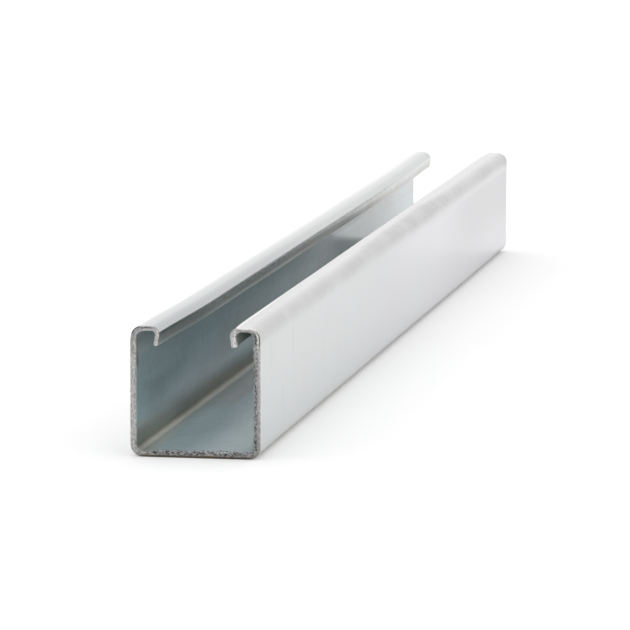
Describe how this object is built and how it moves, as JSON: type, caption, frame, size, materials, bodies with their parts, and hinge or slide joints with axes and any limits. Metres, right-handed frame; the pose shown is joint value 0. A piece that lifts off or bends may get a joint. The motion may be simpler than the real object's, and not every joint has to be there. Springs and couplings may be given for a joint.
{
  "type": "strut channel",
  "caption": "Plain-backed C-section strut channel, roll-formed from stainless steel strip, with in-turned lips along a continuous slot.",
  "frame": {"origin": "under the middle of the channel's back, on the plane it lies on, at half its length", "axes": "+Y along the channel, +X across it, +Z from its back out of its slot"},
  "size_m": [0.0412, 0.5, 0.0413],
  "materials": {
    "stainless_steel": "satin mill finish with faint lengthwise rolling lines; sawn ends duller and warmer, with a burr inside"
  },
  "bodies": {
    "root": {"strut_channel": "stainless_steel"}
  },
  "joints": []
}
